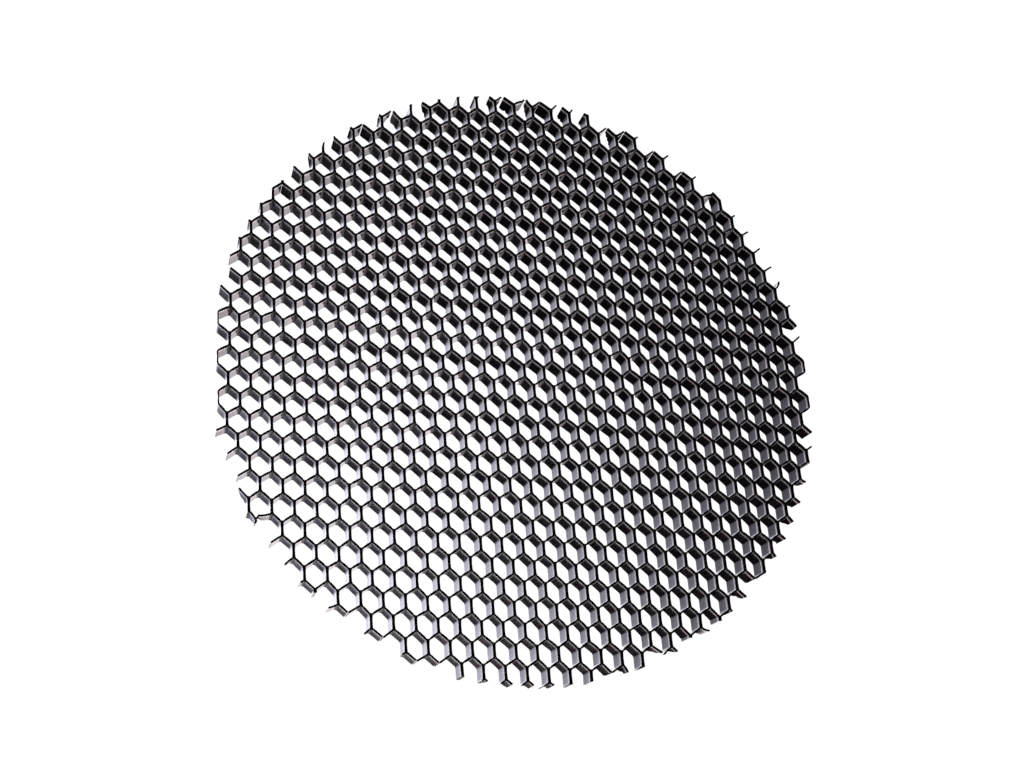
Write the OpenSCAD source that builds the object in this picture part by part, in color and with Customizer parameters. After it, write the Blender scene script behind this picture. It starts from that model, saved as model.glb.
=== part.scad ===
// Round honeycomb light grid: a disc cut from expanded aluminium honeycomb core.
// Crimped foil ribbons run along Y and are glued to their neighbours along every
// doubled wall. The disc lies flat: the origin is the middle of the back face and
// the cells open along Z.

/* [Disc] */
// Diameter the core is cut to, in mm
disc_diameter = 169.6; // [110:0.2:169.8]
// Depth of the cells, from back face to front face, in mm
grid_depth = 6.3; // [3:0.1:15]

/* [Cells] */
// Distance from one column of doubled walls to the next in the same row, in mm
cell_pitch = 5.632; // [5.6:0.001:6.5]
// Distance between rows of cells along the ribbons, in mm
row_pitch = 5.426; // [5.2:0.001:6]
// Length of a doubled, glued wall, in mm
bond_length = 3.49; // [2.8:0.01:3.8]
// Sideways creep of each row over the one below, from pulling the core open askew, in mm
row_creep = 0.383; // [0:0.001:0.5]
// Lean of the doubled walls from the Y axis, in degrees
bond_lean = 5.3; // [0:0.1:7]
// Nominal distance of the middle doubled wall from the disc's centre, along X, in mm
middle_wall_x = -0.92; // [-2:0.001:2]
// Nominal distance of the middle doubled wall from the disc's centre, along Y, in mm
middle_wall_y = -0.52; // [-2:0.001:2]

/* [Foil] */
// Thickness of one foil ribbon with its coat of black paint, in mm
foil_thickness = 0.3; // [0.12:0.01:0.35]
// Thickness of the adhesive between two ribbons, in mm
adhesive_thickness = 0.03; // [0.02:0.01:0.06]
// How far each crimp is eased back from a sharp corner, in mm
crimp_ease = 0.28; // [0.15:0.01:0.4]
// How far the adhesive stops short of each end of a doubled wall, in mm
adhesive_setback = 0.35; // [0.3:0.01:0.8]
// How far the adhesive stops short of the front and back faces, in mm
adhesive_inset = 0.4; // [0.2:0.05:1]

/* [Irregularity] */
// Greatest sideways wander of a whole row, in mm
row_wander = 0.31; // [0:0.01:0.35]
// How far the rows at both ends of the ribbons bow sideways of the middle rows, in mm
row_bow = 1.15; // [0:0.05:1.5]
// Greatest lengthwise wander of a whole column of doubled walls, in mm
column_wander = 0.1; // [0:0.01:0.15]
// Greatest stray of a single doubled wall, in mm
wall_stray = 0.05; // [0:0.01:0.08]

/* [Cut edge] */
// Least distance from the cut edge at which a doubled wall still holds, in mm
bond_margin = 1; // [0.9:0.05:1.5]
// Longest lip left on a cut wall where the foils still meet, in mm
longest_lip = 1.6; // [0.2:0.05:1.7]

/* [Hidden] */
disc_radius = disc_diameter / 2;
last_row = ceil(disc_radius / row_pitch) + 1;
last_column = ceil(disc_diameter / cell_pitch) + 2;
foil_offset = (foil_thickness + adhesive_thickness) / 2;
half_bond = bond_length / 2;
bond_along = [-sin(bond_lean), cos(bond_lean)];
bond_across = [cos(bond_lean), sin(bond_lean)];
adhesive_half_length = half_bond - adhesive_setback;
// The lips only stand where the cut runs across the ribbons, near the ends of their length.
lip_start_y = 0.5 * disc_radius;
foil_black = [0.05, 0.045, 0.05];
adhesive_amber = [0.35, 0.26, 0.12];

// A repeatable scatter between -1 and 1 for any whole number.
function scatter(seed) =
    let (wave = sin(seed * 63.613 + 66) * 437.58)
    2 * (wave - floor(wave)) - 1;

// Middle of the doubled wall in half-pitch column and row. Odd rows hold the odd columns.
function wall_middle(column, row) = [
    middle_wall_x + column * cell_pitch / 2 - row * row_creep
        - row_bow * pow(row * row_pitch / disc_radius, 2)
        + row_wander * scatter(row)
        + wall_stray * scatter(column * 61 + row * 17),
    middle_wall_y + row * row_pitch
        + column_wander * scatter(column * 7 + 400)
        + wall_stray * scatter(column * 43 + row * 29 + 900)
];

function is_odd(number) = number - 2 * floor(number / 2) == 1;

// The doubled-wall column a ribbon belongs to in a row, and its side of that wall.
function ribbon_column(ribbon, row) = is_odd(ribbon) == is_odd(row) ? ribbon : ribbon - 1;
function ribbon_side(ribbon, row) = is_odd(ribbon) == is_odd(row) ? -1 : 1;

function ribbon_wall(ribbon, row) = wall_middle(ribbon_column(ribbon, row), row);

// A doubled wall holds when its middle lies far enough inside the cut edge.
function is_held(column, row) = norm(wall_middle(column, row)) < disc_radius - bond_margin;
function ribbon_held(ribbon, row) = is_held(ribbon_column(ribbon, row), row);

// A point of the ribbon's own foil, at a distance along the doubled wall from its middle.
function foil_point(ribbon, row, along) =
    ribbon_wall(ribbon, row)
    + ribbon_side(ribbon, row) * foil_offset * bond_across
    + along * bond_along;

// Length of the lip a cut ribbon keeps along the next, lost wall.
function lip_length(ribbon, row) =
    let (wall = ribbon_wall(ribbon, row))
    abs(wall[1]) < lip_start_y
        ? 0
        : longest_lip * (0.5 + 0.5 * scatter(ribbon_column(ribbon, row) * 13 + row * 5));

// Centre line of one unbroken run of a ribbon, with a cut stub at each end.
function run_line(ribbon, first, last) =
    let (low_lip = lip_length(ribbon, first - 1))
    let (high_lip = lip_length(ribbon, last + 1))
    concat(
        low_lip > crimp_ease * 2 ? [foil_point(ribbon, first - 1, half_bond - low_lip)] : [],
        [foil_point(ribbon, first - 1, half_bond)],
        [for (row = [first:last]) for (end = [-half_bond, half_bond]) foil_point(ribbon, row, end)],
        [foil_point(ribbon, last + 1, -half_bond)],
        high_lip > crimp_ease * 2 ? [foil_point(ribbon, last + 1, high_lip - half_bond)] : []
    );

function unit(vector) = vector / norm(vector);

// The same line with every crimp cut back to a short flat.
function eased(line) = [
    for (i = [0:len(line) - 1])
        for (p = i == 0 || i == len(line) - 1
            ? [line[i]]
            : [
                line[i] + crimp_ease * unit(line[i - 1] - line[i]),
                line[i] + crimp_ease * unit(line[i + 1] - line[i])
            ])
            p
];

function left_of(vector) = [-vector[1], vector[0]];

// One side of the foil: the line moved sideways, mitred at each bend.
function foil_side(line, distance) = [
    for (i = [0:len(line) - 1])
        let (before = left_of(unit(line[max(i, 1)] - line[max(i, 1) - 1])))
        let (after = left_of(unit(line[min(i, len(line) - 2) + 1] - line[min(i, len(line) - 2)])))
        line[i] + distance * (before + after) / (1 + before * after)
];

function reversed(list) = [for (i = [len(list) - 1:-1:0]) list[i]];

// First rows of the runs in which a ribbon is held without a break.
function run_starts(ribbon) = [
    for (row = [-last_row:last_row])
        if (ribbon_held(ribbon, row) && !ribbon_held(ribbon, row - 1))
            row
];

function run_end(ribbon, row) = ribbon_held(ribbon, row + 1) ? run_end(ribbon, row + 1) : row;

function longest_run(ribbon) = max([
    for (row = run_starts(ribbon)) run_end(ribbon, row) - row + 1
]);

// A ribbon left with single walls only drops off with the offcut.
function is_present(ribbon) =
    len(run_starts(ribbon)) > 0 && longest_run(ribbon) > 1;

RIBBONS = [for (ribbon = [-last_column:last_column]) if (is_present(ribbon)) ribbon];
first_ribbon = RIBBONS[0];
last_ribbon = RIBBONS[len(RIBBONS) - 1];

// A doubled wall is glued when it holds and both of its ribbons are there.
function is_glued(column, row) =
    is_odd(column) == is_odd(row) && is_held(column, row)
        && column >= first_ribbon && column < last_ribbon;

function ribbon_name(index) = str("ribbon_", index < 9 ? "0" : "", index + 1);

// Which piece to draw

module run_outline(ribbon, first, last) {
    line = eased(run_line(ribbon, first, last));
    polygon(concat(
        foil_side(line, foil_thickness / 2),
        reversed(foil_side(line, -foil_thickness / 2))
    ));
}

module foil_ribbon(ribbon) {
    color(foil_black)
    intersection() {
        cylinder(h = grid_depth, r = disc_radius, $fn = 180);
        translate([0, 0, -1])
        linear_extrude(height = grid_depth + 2)
        for (row = run_starts(ribbon))
            run_outline(ribbon, row, run_end(ribbon, row));
    }
}

module adhesive_strip(column, row) {
    middle = wall_middle(column, row);
    along = adhesive_half_length * bond_along;
    across = adhesive_thickness / 2 * bond_across;
    polygon([
        middle - along - across,
        middle - along + across,
        middle + along + across,
        middle + along - across
    ]);
}

module wall_adhesive() {
    color(adhesive_amber)
    translate([0, 0, adhesive_inset])
    linear_extrude(height = grid_depth - 2 * adhesive_inset)
    for (row = [-last_row:last_row])
        for (column = [-last_column:last_column])
            if (is_glued(column, row))
                adhesive_strip(column, row);
}

for (index = [0:len(RIBBONS) - 1])
    foil_ribbon(RIBBONS[index]);
wall_adhesive();
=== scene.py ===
# Looks for the round honeycomb light grid: painted foil, adhesive fillets, floor, light and camera.
import bpy
import math
from collections import namedtuple
from mathutils import Euler, Matrix, Vector, noise


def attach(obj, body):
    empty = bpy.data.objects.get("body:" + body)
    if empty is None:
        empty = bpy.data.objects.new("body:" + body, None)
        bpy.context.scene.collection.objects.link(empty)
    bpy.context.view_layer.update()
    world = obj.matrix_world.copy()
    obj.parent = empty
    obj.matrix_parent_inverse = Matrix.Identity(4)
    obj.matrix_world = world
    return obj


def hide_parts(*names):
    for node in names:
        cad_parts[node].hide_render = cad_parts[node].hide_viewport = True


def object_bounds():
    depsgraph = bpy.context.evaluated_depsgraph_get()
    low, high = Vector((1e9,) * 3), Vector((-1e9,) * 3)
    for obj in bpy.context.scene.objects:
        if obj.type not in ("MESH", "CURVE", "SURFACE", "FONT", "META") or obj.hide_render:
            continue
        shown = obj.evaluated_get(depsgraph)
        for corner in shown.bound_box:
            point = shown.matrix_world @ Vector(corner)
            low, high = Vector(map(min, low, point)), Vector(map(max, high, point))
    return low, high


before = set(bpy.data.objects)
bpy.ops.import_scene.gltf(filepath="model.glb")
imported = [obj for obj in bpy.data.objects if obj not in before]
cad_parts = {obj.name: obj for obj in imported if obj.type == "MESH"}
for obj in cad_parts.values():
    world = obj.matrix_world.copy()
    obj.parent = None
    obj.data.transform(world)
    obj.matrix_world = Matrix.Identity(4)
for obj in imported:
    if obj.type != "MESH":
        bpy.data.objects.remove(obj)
cad_low, cad_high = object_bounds()

MM = 0.001

# ------------------------------------------------ the core's own dimensions, as in the CAD model, in mm
DISC_R = 84.8
DEPTH = 6.3
CELL_PITCH = 5.632
ROW_PITCH = 5.426
BOND_LENGTH = 3.49
ROW_CREEP = 0.383
BOND_LEAN = math.radians(5.3)
MIDDLE_WALL = (-0.92, -0.52)
FOIL = 0.3
GLUE = 0.03
GLUE_SETBACK = 0.35
ROW_WANDER = 0.31
ROW_BOW = 1.15
COLUMN_WANDER = 0.1
WALL_STRAY = 0.05
BOND_MARGIN = 1.0
LONGEST_LIP = 1.6
LIP_START_Y = 0.5 * DISC_R
LAST_ROW = math.ceil(DISC_R / ROW_PITCH) + 1
LAST_COLUMN = math.ceil(2 * DISC_R / CELL_PITCH) + 2
HALF_BOND = BOND_LENGTH / 2
ALONG = Vector((-math.sin(BOND_LEAN), math.cos(BOND_LEAN)))
ACROSS = Vector((math.cos(BOND_LEAN), math.sin(BOND_LEAN)))
FOIL_OFFSET = (FOIL + GLUE) / 2

# ------------------------------------------------ what only the looks add, in mm
BEND = 0.5                # tangent length of a rounded crimp
BEND_SHARE = 0.45         # most of a wall that one rounded crimp may take up
BEND_STEPS = 4
DOUBLED_SUPPORTS = (0.5,)           # where a straight wall gets points between its crimps
SINGLE_SUPPORTS = (0.3, 0.5, 0.7)
LEAST_STEP = 0.03         # points of a foil closer than this are merged

CUT_R = DISC_R - 0.12     # the centre lines of the stubs stay within this
CIRCLE_R = DISC_R - 0.02  # and every vertex within this
BOX_MARGIN = 0.01         # and this far inside the CAD model's box

STUB_SPACING = 0.45       # least distance between the points of a stub
LEAST_LIP = 0.5           # shorter lips are left off
LEAST_SHARE = 0.02        # a last stretch shorter than this share of its step is left off
HARD_BEND = 0.30          # radians for each mm along a stub, for the few that are bent hard
SLIGHT_BEND = 0.06        # and for all the open ones
STAYS_CLOSED = 0.55       # below this scatter, the two stubs at a lost wall stay together
TORN_ABOVE = -0.1         # above this scatter, an open stub is torn deep
DEEP_TEAR = 0.45          # tears and jags are shares of the depth
DEEP_TEAR_SPREAD = 0.4
SHALLOW_TEAR = 0.12
OPEN_JAG = 0.09
CLOSED_JAG = 0.02
TEAR_POWER = 1.2          # how the tear deepens along a stub
JAG_GROWTH = 3            # the jags are full a third of the way along it

# Height through the foil, its half thickness there as a share of the nominal one, and how much
# further the lip of paint spreads where it beads most.
LEVELS = [(0.0, 0.55, 0), (0.05, 0.75, 0), (0.3, 0.8, 0), (0.9, 0.76, 0), (3.1, 0.76, 0),
          (5.3, 0.84, 0), (5.85, 0.95, 0.35), (6.1, 1.08, 0.85), (6.22, 1.12, 0.9), (DEPTH, 1.0, 0.8)]
# How much the lip beads on each stretch of a ribbon
BEAD_DOUBLED = 0.0
BEAD_CRIMP = 0.4
BEAD_STUB = 0.7
BEAD_SINGLE = 1.0
WAVER = 0.03              # most that the foil's faces waver sideways
WAVER_PER_MM = 0.5        # how fast they do, along the disc and through its depth
WAVER_PER_MM_DEEP = 0.3
WAVER_START = 7           # where in the noise the waver is read
LEAST_MITRE = 0.5         # keeps a sharp bend's outer corner from running away
SHARP_ANGLE = math.radians(38)

GLUE_INSET = 0.12         # the adhesive nearly reaches both faces
FILLET_INSET = 0.08       # from the back face
FILLET_TOP_INSET = 0.06   # from the front face
FILLET_LIP = 0.4          # depth of the fillet's swollen top
FILLET_SWELL = 0.2        # how much further that top reaches along the foils
FILLET_REACH = 0.50       # along the foils on both sides
FILLET_SCATTER = 0.10     # most that the reach varies
FILLET_ROOT = 0.62        # back between the foils
FILLET_ROOT_HALF = 0.02   # half its width there
FILLET_START = 0.1        # from the end of the doubled wall to its inner corners
FILLET_NECK = 0.16        # how far its hollow front stands out, and how much further when swollen
FILLET_NECK_SWELL = 0.6
FILLET_STEPS = 6

# ------------------------------------------------ light and floor
LAMP_STRENGTH = 6.5
SURROUND_STRENGTH = 4.2
PAPER_WHITE = 1.05        # just over full white
FLOOR_HALF = 6.0          # in metres
FLOOR_DROP = 0.0003       # in metres, below the disc's back face

LinePoint = namedtuple("LinePoint", "place is_crimp torn starts_bond")


# ------------------------------------------------ the pattern of walls, as in the CAD model
def scatter(seed):
    """A repeatable scatter between -1 and 1 for any whole number."""
    wave = math.sin(math.radians(seed * 63.613 + 66)) * 437.58
    return 2 * (wave - math.floor(wave)) - 1


def wall_middle(column, row):
    """Middle of the doubled wall in half-pitch column and row."""
    return Vector((
        MIDDLE_WALL[0] + column * CELL_PITCH / 2 - row * ROW_CREEP
        - ROW_BOW * (row * ROW_PITCH / DISC_R) ** 2
        + ROW_WANDER * scatter(row) + WALL_STRAY * scatter(column * 61 + row * 17),
        MIDDLE_WALL[1] + row * ROW_PITCH
        + COLUMN_WANDER * scatter(column * 7 + 400)
        + WALL_STRAY * scatter(column * 43 + row * 29 + 900)))


def ribbon_column(ribbon, row):
    return ribbon if (ribbon - row) % 2 == 0 else ribbon - 1


def ribbon_side(ribbon, row):
    return -1 if (ribbon - row) % 2 == 0 else 1


def is_held(column, row):
    """A doubled wall holds when its middle lies far enough inside the cut edge."""
    return wall_middle(column, row).length < DISC_R - BOND_MARGIN


def ribbon_held(ribbon, row):
    return is_held(ribbon_column(ribbon, row), row)


def foil_point(ribbon, row, along):
    """A point of the ribbon's own foil, at a distance along the doubled wall from its middle."""
    return (wall_middle(ribbon_column(ribbon, row), row)
            + ribbon_side(ribbon, row) * FOIL_OFFSET * ACROSS + along * ALONG)


def lip_length(ribbon, row):
    """Length of the lip a cut ribbon keeps along the next, lost wall."""
    wall = wall_middle(ribbon_column(ribbon, row), row)
    if abs(wall.y) < LIP_START_Y:
        return 0.0
    return LONGEST_LIP * (0.5 + 0.5 * scatter(ribbon_column(ribbon, row) * 13 + row * 5))


def runs_of(ribbon):
    """First and last row of every run in which a ribbon is held without a break."""
    runs, row = [], -LAST_ROW
    while row <= LAST_ROW:
        if ribbon_held(ribbon, row):
            first = row
            while ribbon_held(ribbon, row + 1):
                row += 1
            runs.append((first, row))
        row += 1
    return runs


def is_present(ribbon):
    """A ribbon left with single walls only drops off with the offcut."""
    return any(last > first for first, last in runs_of(ribbon))


RIBBONS = [ribbon for ribbon in range(-LAST_COLUMN, LAST_COLUMN + 1) if is_present(ribbon)]


def is_glued(column, row):
    """A doubled wall is glued when it holds and both of its ribbons are there."""
    return ((column - row) % 2 == 0 and is_held(column, row)
            and RIBBONS[0] <= column < RIBBONS[-1])


# ------------------------------------------------ lines
def curve_point(start, corner, end, t):
    """A point of the curve that leaves start towards the corner and arrives at end from it."""
    return start * (1 - t) ** 2 + corner * 2 * t * (1 - t) + end * t * t


def spaced(points, spacing):
    """The same line with points added, at least a spacing apart."""
    line = [points[0]]
    for a, b in zip(points, points[1:]):
        count = max(1, int((b - a).length / spacing))
        line += [a + (b - a) * k / count for k in range(1, count + 1)]
    return line


def curled(points, bend):
    """The line turned more and more along its length, by an angle in radians for each mm."""
    line, here, length = [points[0]], points[0].copy(), 0.0
    for a, b in zip(points, points[1:]):
        step = b - a
        length += step.length
        here = here + Matrix.Rotation(bend * length, 2) @ step
        line.append(here.copy())
    return line


def trimmed(points):
    """A stub's points, from its root outwards, stopped where they leave the cut circle."""
    kept = [points[0]]
    for a, b in zip(points, points[1:]):
        if b.length <= CUT_R:
            kept.append(b)
            continue
        step = b - a
        square, slope, rest = step.dot(step), 2 * a.dot(step), a.dot(a) - CUT_R ** 2
        discriminant = slope * slope - 4 * square * rest
        if discriminant > 0:
            t = (-slope + math.sqrt(discriminant)) / (2 * square)
            if LEAST_SHARE < t < 1:
                kept.append(a + step * t)
        break
    return kept


def torn_shares(count, seed, closed):
    """How much of the depth is torn away from the back at each point, growing towards the tip."""
    if closed:
        deepest, jag = 0.0, CLOSED_JAG
    elif scatter(seed + 3) > TORN_ABOVE:
        deepest, jag = DEEP_TEAR + DEEP_TEAR_SPREAD * abs(scatter(seed + 4)), OPEN_JAG
    else:
        deepest, jag = SHALLOW_TEAR, OPEN_JAG
    shares = []
    for k in range(count):
        t = k / max(1, count - 1)
        ragged = jag * scatter(seed * 3 + k) * min(1, JAG_GROWTH * t)
        shares.append(max(0.0, deepest * t ** TEAR_POWER + ragged))
    return shares


def stub(ribbon, last, missing, step):
    """The cut end of a ribbon beyond its last held wall: (point, torn share) from its root outwards."""
    corner = foil_point(ribbon, missing, -step * HALF_BOND)
    points = [foil_point(ribbon, last, step * HALF_BOND), corner]
    lip = lip_length(ribbon, missing)
    if lip > LEAST_LIP:
        points.append(foil_point(ribbon, missing, step * (lip - HALF_BOND)))
    # both stubs that meet at a lost wall share its fate: most stay closed, like a roof
    lost_wall = ribbon_column(ribbon, missing) * 29 + missing * 7
    closed = corner.length < CUT_R and scatter(lost_wall) < STAYS_CLOSED
    seed = ribbon * 37 + last * 11 + step * 5
    bend = HARD_BEND * scatter(seed + 1) ** 3 + SLIGHT_BEND * scatter(seed + 2)
    kept = trimmed(curled(spaced(points, STUB_SPACING), 0.0 if closed else bend))
    return list(zip(kept, torn_shares(len(kept), seed, closed)))


def run_line(ribbon, first, last):
    """Centre line of one unbroken run of a ribbon, with a cut stub at each end."""
    low = stub(ribbon, first, first - 1, -1)
    high = stub(ribbon, last, last + 1, 1)
    line = [LinePoint(place, False, torn, False) for place, torn in reversed(low[1:])]
    for row in range(first, last + 1):
        for end in (-HALF_BOND, HALF_BOND):
            line.append(LinePoint(foil_point(ribbon, row, end), True, 0.0, end < 0))
    return line + [LinePoint(place, False, torn, False) for place, torn in high[1:]]


def rounded(line):
    """The line with every crimp rounded: list of (point, torn share, how much the lip beads)."""
    path = []
    for i, entry in enumerate(line):
        p = entry.place
        if not entry.is_crimp or i == 0 or i == len(line) - 1:
            path.append((p, entry.torn, BEAD_STUB))
            continue
        back, ahead = line[i - 1].place - p, line[i + 1].place - p
        start = p + back.normalized() * min(BEND, back.length * BEND_SHARE)
        end = p + ahead.normalized() * min(BEND, ahead.length * BEND_SHARE)
        for k in range(BEND_STEPS + 1):
            path.append((curve_point(start, p, end, k / BEND_STEPS), 0.0, BEAD_CRIMP))
        if line[i + 1].is_crimp:
            supports = DOUBLED_SUPPORTS if entry.starts_bond else SINGLE_SUPPORTS
            bead = BEAD_DOUBLED if entry.starts_bond else BEAD_SINGLE
            path += [(p + ahead * share, 0.0, bead) for share in supports]
    merged = [path[0]]
    for entry in path[1:]:
        if (entry[0] - merged[-1][0]).length > LEAST_STEP:
            merged.append(entry)
    return merged


def sideways_of(places):
    """The sideways direction at each place of a path, lengthened at a bend to keep its width."""
    steps = [(b - a).normalized() for a, b in zip(places, places[1:])]
    directions = []
    for before, after in zip([steps[0]] + steps, steps + [steps[-1]]):
        left_before, left_after = Vector((-before.y, before.x)), Vector((-after.y, after.x))
        mitre = max(LEAST_MITRE, 1 + left_before.dot(left_after))
        directions.append((left_before + left_after) / mitre)
    return directions


# ------------------------------------------------ meshes
def inside_box(p):
    """The point drawn back into the cut circle and the CAD model's own box."""
    if p.length > CIRCLE_R:
        p = p * (CIRCLE_R / p.length)
    return Vector([min(max(p[k], cad_low[k] / MM + BOX_MARGIN), cad_high[k] / MM - BOX_MARGIN)
                   for k in (0, 1)])


def foil_into(verts, faces, path):
    """Adds one strip of foil that stands along a path of (point, torn share, how much it beads)."""
    base, loop = len(verts), 2 * len(LEVELS)
    for (p, torn, bead), sideways in zip(path, sideways_of([entry[0] for entry in path])):
        for side in (1, -1):
            for z, share, spread in (LEVELS if side == 1 else reversed(LEVELS)):
                deep = z * WAVER_PER_MM_DEEP + WAVER_START
                spot = Vector((p.x * WAVER_PER_MM, p.y * WAVER_PER_MM, deep))
                waver = noise.noise(spot) * WAVER
                q = inside_box(p + sideways * (side * (FOIL / 2) * (share + spread * bead) + waver))
                verts.append((q.x * MM, q.y * MM, (DEPTH - (DEPTH - z) * (1 - torn)) * MM))
    for i in range(len(path) - 1):
        for k in range(loop):
            a = base + i * loop + k
            b = base + i * loop + (k + 1) % loop
            faces.append((a, b, b + loop, a + loop))
    end = base + (len(path) - 1) * loop
    faces.append(tuple(base + k for k in reversed(range(loop))))
    faces.append(tuple(end + k for k in range(loop)))


def prism_into(verts, faces, outline, z0, z1):
    """Adds an upright prism of an outline that runs counterclockwise, from one height to another."""
    base, count = len(verts), len(outline)
    for z in (z0, z1):
        for p in outline:
            q = inside_box(p)
            verts.append((q.x * MM, q.y * MM, z * MM))
    faces.append(tuple(base + k for k in reversed(range(count))))
    faces.append(tuple(base + count + k for k in range(count)))
    for k in range(count):
        a, b = base + k, base + (k + 1) % count
        faces.append((a, b, b + count, a + count))


def linked(name, data):
    obj = bpy.data.objects.new(name, data)
    bpy.context.scene.collection.objects.link(obj)
    return obj


def add_mesh(name, verts, faces, material):
    """A smooth-shaded object with its sharp edges kept."""
    mesh = bpy.data.meshes.new(name)
    mesh.from_pydata(verts, [], faces)
    mesh.validate()
    for poly in mesh.polygons:
        poly.use_smooth = True
    mesh.set_sharp_from_angle(angle=SHARP_ANGLE)
    mesh.materials.append(material)
    return linked(name, mesh)


# ------------------------------------------------ nodes
# First value, second value and result of each kind of Mix node
MIX_SOCKETS = {"FLOAT": (2, 3, 0), "RGBA": (6, 7, 2)}


def tinted(value, tint=(1, 1, 1)):
    """A grey of the given value, or that much of a tint."""
    return (value * tint[0], value * tint[1], value * tint[2], 1)


def feed(tree, socket, value):
    """Links a socket to another node's output, or sets it to a plain value."""
    if isinstance(value, bpy.types.NodeSocket):
        tree.links.new(value, socket)
    else:
        socket.default_value = value


def ramp(tree, source, stops):
    """A colour ramp through stops of (position, value) or (position, value, tint)."""
    node = tree.nodes.new("ShaderNodeValToRGB")
    elements = node.color_ramp.elements
    while len(elements) > 1:
        elements.remove(elements[-1])
    elements[0].position = stops[0][0]
    elements[0].color = tinted(*stops[0][1:])
    for stop in stops[1:]:
        elements.new(stop[0]).color = tinted(*stop[1:])
    tree.links.new(source, node.inputs[0])
    return node.outputs[0]


def math_node(tree, operation, *values):
    node = tree.nodes.new("ShaderNodeMath")
    node.operation = operation
    for i, value in enumerate(values):
        feed(tree, node.inputs[i], value)
    return node.outputs[0]


def vector_node(tree, operation, a, b):
    node = tree.nodes.new("ShaderNodeVectorMath")
    node.operation = operation
    feed(tree, node.inputs[0], a)
    feed(tree, node.inputs["Scale" if operation == "SCALE" else 1], b)
    return node.outputs["Value" if operation == "DOT_PRODUCT" else "Vector"]


def mix_node(tree, factor, a, b, kind="RGBA", blend="MIX"):
    node = tree.nodes.new("ShaderNodeMix")
    node.data_type = kind
    node.blend_type = blend
    first, second, result = MIX_SOCKETS[kind]
    for index, value in ((0, factor), (first, a), (second, b)):
        feed(tree, node.inputs[index], value)
    return node.outputs[result]


def noise_texture(tree, place, scale, detail):
    node = tree.nodes.new("ShaderNodeTexNoise")
    node.inputs["Scale"].default_value = scale
    node.inputs["Detail"].default_value = detail
    tree.links.new(place, node.inputs["Vector"])
    return node.outputs["Fac"]


def z_of(tree, vector):
    node = tree.nodes.new("ShaderNodeSeparateXYZ")
    tree.links.new(vector, node.inputs[0])
    return node.outputs["Z"]


def new_material(name):
    """A material, its node tree and its Principled shader."""
    mat = bpy.data.materials.new(name)
    mat.use_nodes = True
    return mat, mat.node_tree, mat.node_tree.nodes["Principled BSDF"]


# ------------------------------------------------ materials
def painted_foil():
    """Black spray paint: glossy on the walls, matt at the faces, with a pale band near the front that is
    a painted highlight.
    """
    mat, tree, shader = new_material("painted_foil_black")
    place = tree.nodes.new("ShaderNodeTexCoord").outputs["Object"]
    height = math_node(tree, "MULTIPLY", z_of(tree, place), 1 / (DEPTH * MM))
    # fine mottling of the sprayed paint, and slower clouds that also make the painted highlight band
    # wobble
    grain = noise_texture(tree, place, scale=900, detail=3)
    cloud = noise_texture(tree, place, scale=160, detail=2)
    wobble = math_node(tree, "MULTIPLY", math_node(tree, "SUBTRACT", cloud, 0.5), 0.05)
    level = math_node(tree, "ADD", height, wobble)

    # by height: paler at the very back, a dark body, a pale line that is a painted highlight, black
    # above it
    pale_back_and_painted_highlight = ramp(tree, level, [(0.0, 0.1), (0.07, 0), (0.735, 0), (0.755, 0.15), (0.775, 0.85),
                              (0.795, 1.0), (0.815, 0.95), (0.835, 0.25), (0.855, 0.04), (0.88, 0)])
    dark = mix_node(tree, cloud, (0.0010, 0.0005, 0.0008, 1), (0.0026, 0.0014, 0.0021, 1))
    # the colour of the paler back and of the painted highlight line
    pale = mix_node(tree, grain, (0.62, 0.53, 0.54, 1), (0.92, 0.80, 0.81, 1))
    body = mix_node(tree, pale_back_and_painted_highlight, dark, pale)

    # surfaces that face the front or back, and the lip next to each face, are matt black
    normal = tree.nodes.new("ShaderNodeNewGeometry").outputs["Normal"]
    cut = ramp(tree, math_node(tree, "ABSOLUTE", z_of(tree, normal)), [(0.35, 0), (0.6, 1)])
    rim = ramp(tree, height, [(0.0, 1), (0.03, 1), (0.05, 0), (0.885, 0), (0.912, 1), (1.0, 1)])
    matt = math_node(tree, "MAXIMUM", cut, rim)
    matt_black = (0.0012, 0.001, 0.0012, 1)
    colour = mix_node(tree, rim, mix_node(tree, cut, body, matt_black), matt_black)
    shine = math_node(tree, "MULTIPLY", math_node(tree, "SUBTRACT", 1.0, matt), 0.5)

    gloss = tree.nodes.new("ShaderNodeMapRange")
    gloss.inputs["To Min"].default_value = 0.13
    gloss.inputs["To Max"].default_value = 0.26
    tree.links.new(cloud, gloss.inputs["Value"])
    # the paler back and the painted highlight line are rougher than the glossy body
    banded_roughness = mix_node(tree, pale_back_and_painted_highlight, gloss.outputs["Result"], 0.5, kind="FLOAT")
    roughness = mix_node(tree, cut, banded_roughness, 0.6, kind="FLOAT")

    bump = tree.nodes.new("ShaderNodeBump")
    bump.inputs["Strength"].default_value = 0.18
    bump.inputs["Distance"].default_value = 0.00004
    tree.links.new(grain, bump.inputs["Height"])

    tree.links.new(colour, shader.inputs["Base Color"])
    tree.links.new(math_node(tree, "MULTIPLY", pale_back_and_painted_highlight, 0.35), shader.inputs["Metallic"])
    tree.links.new(roughness, shader.inputs["Roughness"])
    tree.links.new(shine, shader.inputs["Specular IOR Level"])
    tree.links.new(bump.outputs["Normal"], shader.inputs["Normal"])
    shader.inputs["IOR"].default_value = 1.5
    return mat


def fillet_paint():
    """The duller paint that has run into the corners."""
    mat, tree, shader = new_material("fillet_black")
    place = tree.nodes.new("ShaderNodeTexCoord").outputs["Object"]
    grain = noise_texture(tree, place, scale=700, detail=2)
    colour = mix_node(tree, grain, (0.004, 0.003, 0.0035, 1), (0.012, 0.009, 0.009, 1))
    tree.links.new(colour, shader.inputs["Base Color"])
    shader.inputs["Roughness"].default_value = 0.4
    return mat


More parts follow.
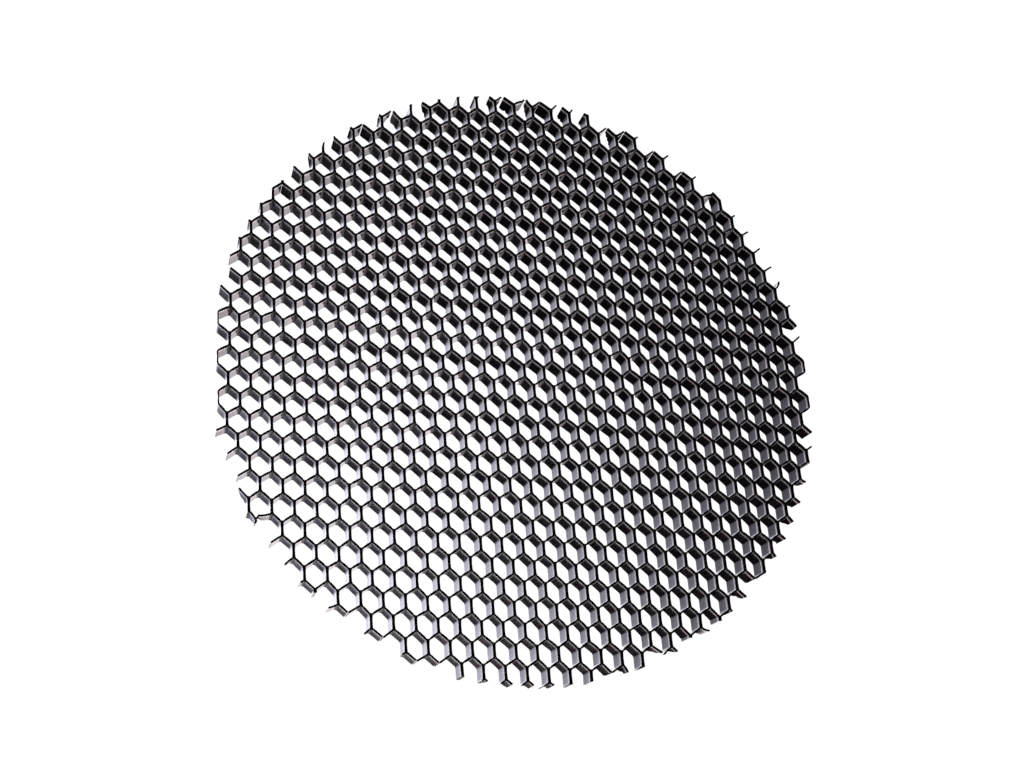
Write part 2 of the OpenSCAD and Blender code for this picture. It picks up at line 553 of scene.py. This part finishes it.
def floor_white():
    """Plain white, the same from everywhere."""
    mat = bpy.data.materials.new("floor_white")
    mat.use_nodes = True
    tree = mat.node_tree
    tree.nodes.clear()
    glow = tree.nodes.new("ShaderNodeEmission")
    glow.inputs["Color"].default_value = (1, 1, 1, 1)
    glow.inputs["Strength"].default_value = PAPER_WHITE
    output = tree.nodes.new("ShaderNodeOutputMaterial")
    tree.links.new(glow.outputs[0], output.inputs[0])
    return mat


# ------------------------------------------------ pieces
def make_ribbon(index, ribbon, material):
    node = "ribbon_%02d" % (index + 1)
    verts, faces = [], []
    for first, last in runs_of(ribbon):
        foil_into(verts, faces, rounded(run_line(ribbon, first, last)))
    piece = add_mesh(node + "_foil", verts, faces, material)
    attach(piece, "root")
    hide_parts(node)


def glue_outline(column, row):
    """The strip of adhesive between the two foils of a doubled wall."""
    middle = wall_middle(column, row)
    along, across = (HALF_BOND - GLUE_SETBACK) * ALONG, GLUE / 2 * ACROSS
    return [middle - along - across, middle - along + across,
            middle + along + across, middle + along - across]


def fillet_outline(column, row, step, swell):
    """The paint that fills the corner where the foils part at one end of a doubled wall."""
    end = wall_middle(column, row) + step * HALF_BOND * ALONG
    outwards = step * ALONG
    left = (foil_point(column, row + step, -step * HALF_BOND) - end).normalized()
    right = (foil_point(column + 1, row + step, -step * HALF_BOND) - end).normalized()
    reach = FILLET_REACH + FILLET_SCATTER * scatter(column * 5 + row * 3) + swell
    left_tip, right_tip = end + left * reach, end + right * reach
    neck = end + outwards * (FILLET_NECK + FILLET_NECK_SWELL * swell)
    root = end - outwards * FILLET_ROOT
    hollow = [curve_point(right_tip, neck, left_tip, k / FILLET_STEPS) for k in range(1, FILLET_STEPS)]
    outline = ([root - ACROSS * FILLET_ROOT_HALF, root + ACROSS * FILLET_ROOT_HALF,
                end + right * FILLET_START, right_tip]
               + hollow + [left_tip, end + left * FILLET_START])
    return outline if step > 0 else outline[::-1]


def make_adhesive(material):
    """The adhesive in every doubled wall, with the paint-filled fillet at each end of it."""
    verts, faces = [], []
    lip_z = DEPTH - FILLET_LIP
    for row in range(-LAST_ROW, LAST_ROW + 1):
        for column in range(-LAST_COLUMN, LAST_COLUMN + 1):
            if not is_glued(column, row):
                continue
            prism_into(verts, faces, glue_outline(column, row), GLUE_INSET, DEPTH - GLUE_INSET)
            for step in (-1, 1):
                plain = fillet_outline(column, row, step, 0.0)
                swollen = fillet_outline(column, row, step, FILLET_SWELL)
                prism_into(verts, faces, plain, FILLET_INSET, lip_z)
                prism_into(verts, faces, swollen, lip_z, DEPTH - FILLET_TOP_INSET)
    glue = add_mesh("wall_adhesive_fillets", verts, faces, material)
    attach(glue, "root")
    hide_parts("wall_adhesive")


# ------------------------------------------------ camera, floor and surroundings
def make_camera():
    """The camera stands where the photograph was taken from, above the disc's front face."""
    place = Vector((-91.32, -134.06, 339.66)) * MM
    turn = Euler([math.radians(angle) for angle in (20.357, -14.934, 0.827)])
    lens = bpy.data.cameras.new("camera")
    lens.sensor_width = 36
    lens.lens = 47.985
    lens.clip_start = 0.01
    lens.clip_end = 50
    camera = linked("camera", lens)
    camera.matrix_world = Matrix.Translation(place) @ turn.to_matrix().to_4x4()
    bpy.context.scene.camera = camera


def make_floor():
    """A white floor that only the camera sees, so that it neither lights nor mirrors in the paint."""
    corners = [(-1, -1), (1, -1), (1, 1), (-1, 1)]
    mesh = bpy.data.meshes.new("floor")
    mesh.from_pydata([(x * FLOOR_HALF, y * FLOOR_HALF, -FLOOR_DROP) for x, y in corners],
                     [], [(0, 1, 2, 3)])
    mesh.materials.append(floor_white())
    floor = linked("floor", mesh)
    floor.visible_diffuse = False
    floor.visible_glossy = False
    floor.visible_transmission = False
    floor.visible_volume_scatter = False
    floor.visible_shadow = False


def facing(tree, direction, axis):
    """How far a direction points along an axis, from -1 to 1."""
    return vector_node(tree, "DOT_PRODUCT", direction, Vector(axis).normalized())


def surround_light(tree, direction, upness):
    """The pale surround below the disc, brightest in the middle, cool towards -X and warm towards +X."""
    cool, warm = (0.86, 0.84, 1.0), (1.0, 0.92, 0.985)
    sideways = math_node(tree, "MULTIPLY_ADD", facing(tree, direction, (1, 0, 0)), 0.5, 0.5)
    bands = ramp(tree, sideways, [(0.24, 0.12, cool), (0.285, 0.165, cool), (0.335, 0.37, cool),
                                  (0.38, 0.54, cool), (0.435, 0.62, cool), (0.49, 1.0),
                                  (0.60, 0.42, warm), (0.67, 0.36, warm), (0.705, 0.62, warm),
                                  (0.78, 0.3, warm)])
    below = ramp(tree, upness, [(0.0, 1.0), (0.40, 1.0), (0.50, 0.7), (0.56, 0.0), (1.0, 0.0)])
    return vector_node(tree, "SCALE", vector_node(tree, "MULTIPLY", below, bands), SURROUND_STRENGTH)


def lamp_light(tree, direction, upness):
    """Two broad lamps above, on opposite sides of the disc, with the dark room between them."""
    across = facing(tree, direction, (-0.8, 0.6, 0.0))
    lamps = math_node(tree, "MULTIPLY", math_node(tree, "MULTIPLY", across, across), LAMP_STRENGTH)
    above = ramp(tree, upness, [(0.0, 0), (0.50, 0), (0.60, 1), (1.0, 1)])
    return math_node(tree, "MULTIPLY", lamps, above)


def dark_flag(tree, direction):
    """A dark, violet flag below the disc, soft at its edge, for the walls that mirror it."""
    return ramp(tree, facing(tree, direction, (-0.24, -0.49, -0.84)),
                [(0.80, 1.0), (0.885, 0.5), (0.92, 0.12, (0.97, 0.82, 1.0)),
                 (0.94, 0.055, (1.0, 0.7, 0.93)), (0.962, 0.018, (1.0, 0.62, 0.9)),
                 (0.98, 0.009, (1.0, 0.6, 0.88))])


def make_surroundings():
    """What lights the disc and is mirrored in its paint. The camera itself sees plain white."""
    world = bpy.data.worlds.new("studio")
    bpy.context.scene.world = world
    world.use_nodes = True
    tree = world.node_tree
    tree.nodes.clear()
    direction = tree.nodes.new("ShaderNodeTexCoord").outputs["Generated"]
    upness = math_node(tree, "MULTIPLY_ADD", facing(tree, direction, (0, 0, 1)), 0.5, 0.5)
    light = mix_node(tree, 1.0, surround_light(tree, direction, upness),
                     lamp_light(tree, direction, upness), blend="ADD")
    flagged = mix_node(tree, 1.0, light, dark_flag(tree, direction), blend="MULTIPLY")
    seen_by_camera = tree.nodes.new("ShaderNodeLightPath").outputs["Is Camera Ray"]
    background = tree.nodes.new("ShaderNodeBackground")
    seen = mix_node(tree, seen_by_camera, flagged, tinted(PAPER_WHITE))
    tree.links.new(seen, background.inputs["Color"])
    output = tree.nodes.new("ShaderNodeOutputWorld")
    tree.links.new(background.outputs[0], output.inputs[0])
    bpy.context.scene.view_settings.view_transform = "Standard"


foil_material = painted_foil()
fillet_material = fillet_paint()
for index, ribbon in enumerate(RIBBONS):
    make_ribbon(index, ribbon, foil_material)
make_adhesive(fillet_material)
make_camera()
make_floor()
make_surroundings()
